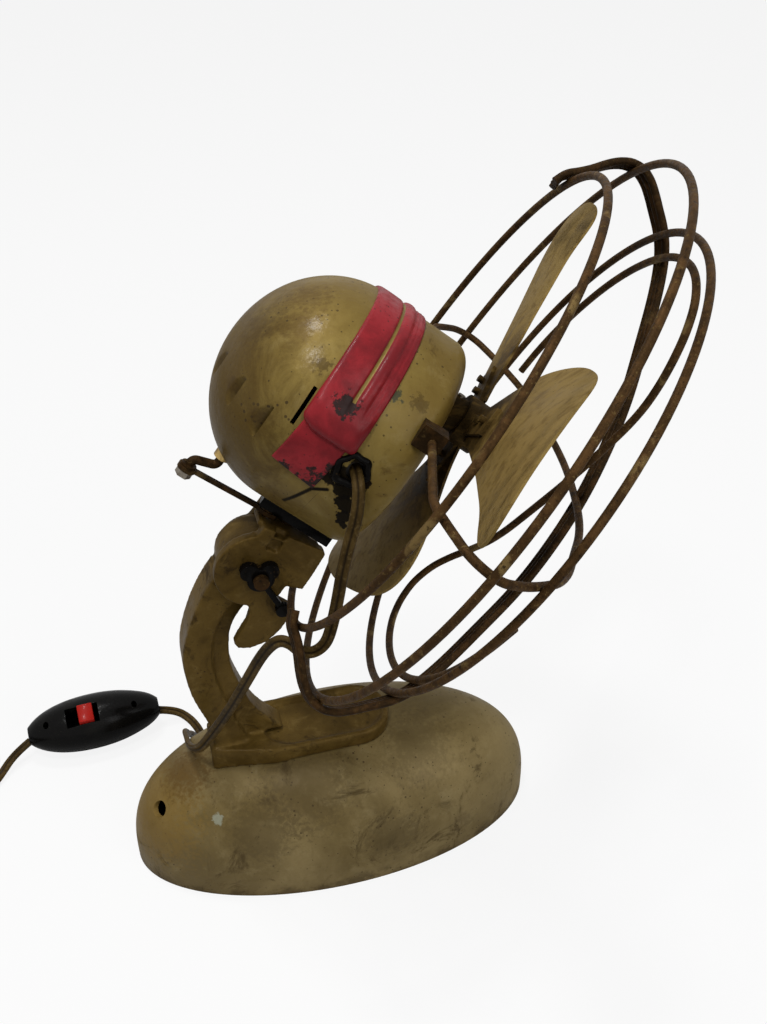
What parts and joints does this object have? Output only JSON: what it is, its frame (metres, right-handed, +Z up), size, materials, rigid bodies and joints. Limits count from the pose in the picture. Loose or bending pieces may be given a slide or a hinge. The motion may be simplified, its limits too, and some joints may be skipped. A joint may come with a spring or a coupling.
{
  "type": "oscillating desk fan",
  "caption": "Vintage oscillating desk fan with a domed oval base, curved neck, tilting yoke, swivelling motor head, paddle blades in an open wire guard and a corded in-line switch",
  "frame": {"origin": "centre of the base's flat underside, on the table", "axes": "+X the way the fan blows when it looks straight ahead, +Z up, +Y to the fan's left seen from behind"},
  "size_m": [0.4361, 0.2501, 0.3607],
  "materials": {
    "gold_paint": "aged hammered gold-bronze enamel",
    "red_paint": "deep red enamel, chipped",
    "black_paint": "chipped black enamel",
    "rusty_wire": "rust-brown worn steel wire",
    "blade_paint": "worn gold-bronze paint",
    "steel": "dull",
    "brass": "dull",
    "gear_case": "die cast",
    "coil_tape": "varnished cotton tape over copper",
    "foot_rubber": "matt",
    "cord": "brown flat twin cord",
    "black_plastic": "glossy",
    "red_plastic": "glossy"
  },
  "bodies": {
    "stand": {"base_shell": "gold_paint", "base_plate": "steel", "base_feet": "foot_rubber", "base_screws": "steel", "neck_arm": "gold_paint", "neck_screws": "steel", "cord_span": "cord", "cord_tail": "cord", "switch_upper_shell": "black_plastic", "switch_lower_shell": "black_plastic", "switch_screws": "steel", "lead": "cord", "lead_coil": "cord", "plug_body": "black_plastic", "plug_pins": "brass"},
    "yoke": {"tilt_yoke": "gold_paint", "tilt_bolt": "steel", "tilt_washer": "steel", "tilt_nut": "steel", "swivel_post": "steel", "thrust_collar": "steel", "post_clip": "steel", "anchor_pin": "steel"},
    "lever": {"clamp_lever": "black_paint"},
    "head": {"rear_housing": "gold_paint", "front_housing": "gold_paint", "red_band_rear": "red_paint", "red_band_front": "red_paint", "motor_cradle": "black_paint", "cradle_screws": "steel", "stator_core": "steel", "stator_coil": "coil_tape", "shaft_bearings": "brass", "bearing_bracket": "steel", "gearbox_case": "gear_case", "crank_bush": "brass", "guard_ring_rear": "rusty_wire", "guard_ring_rim": "rusty_wire", "guard_ring_front": "rusty_wire", "guard_spine": "rusty_wire", "guard_hoop": "rusty_wire", "guard_s_wire": "rusty_wire", "guard_clamps": "rusty_wire", "cord_grommet": "foot_rubber", "cord_head_run": "cord"},
    "rotor": {"rotor_shaft": "steel", "rotor_core": "steel", "fan_hub": "blade_paint", "blade_1": "blade_paint", "blade_2": "blade_paint", "blade_3": "blade_paint", "blade_rivets": "steel", "hub_set_screw": "steel"},
    "crank": {"crank_rod": "black_paint", "worm_wheel": "brass", "crank_nut": "steel"},
    "link": {"link_rod": "black_paint"},
    "button": {"switch_button": "red_plastic"}
  },
  "joints": [
    {"name": "tilt", "type": "hinge", "parent": "stand", "child": "yoke", "pos_m": [-0.0327, 0, 0.1894], "axis": [0, 1, 0], "range_deg": [-56, 8], "deforming": ["cord_span"]},
    {"name": "swivel", "type": "hinge", "parent": "yoke", "child": "head", "pos_m": [0.03196, 0, 0.27417], "axis": [0.5912, 0, 0.8065], "range_deg": [-20, 60], "deforming": ["cord_span"]},
    {"name": "fan_spin", "type": "hinge", "parent": "head", "child": "rotor", "pos_m": [0.03196, 0, 0.27417], "axis": [0.7596, -0.3363, -0.5567], "continuous": true},
    {"name": "crank_turn", "type": "hinge", "parent": "head", "child": "crank", "pos_m": [-0.00062, 0.00434, 0.29805], "axis": [0.5912, 0, 0.8065], "range_deg": [-48.5, 16.5]},
    {"name": "link_turn", "type": "hinge", "parent": "crank", "child": "link", "pos_m": [-0.05706, 0.00487, 0.23862], "axis": [0.5912, 0, 0.8065], "range_deg": [-18.2, 53.8]},
    {"name": "lever_turn", "type": "hinge", "parent": "yoke", "child": "lever", "pos_m": [-0.0327, 0, 0.1894], "axis": [0, 1, 0], "range_deg": [0, 100]},
    {"name": "button_slide", "type": "slide", "parent": "stand", "child": "button", "axis": [-0.9976, -0.0688, 0], "range_m": [0, 0.005]}
  ],
  "couplings": [
    {"joint": "crank_turn", "follows": "swivel", "ratio": -0.8},
    {"joint": "link_turn", "follows": "swivel", "ratio": 0.89}
  ]
}
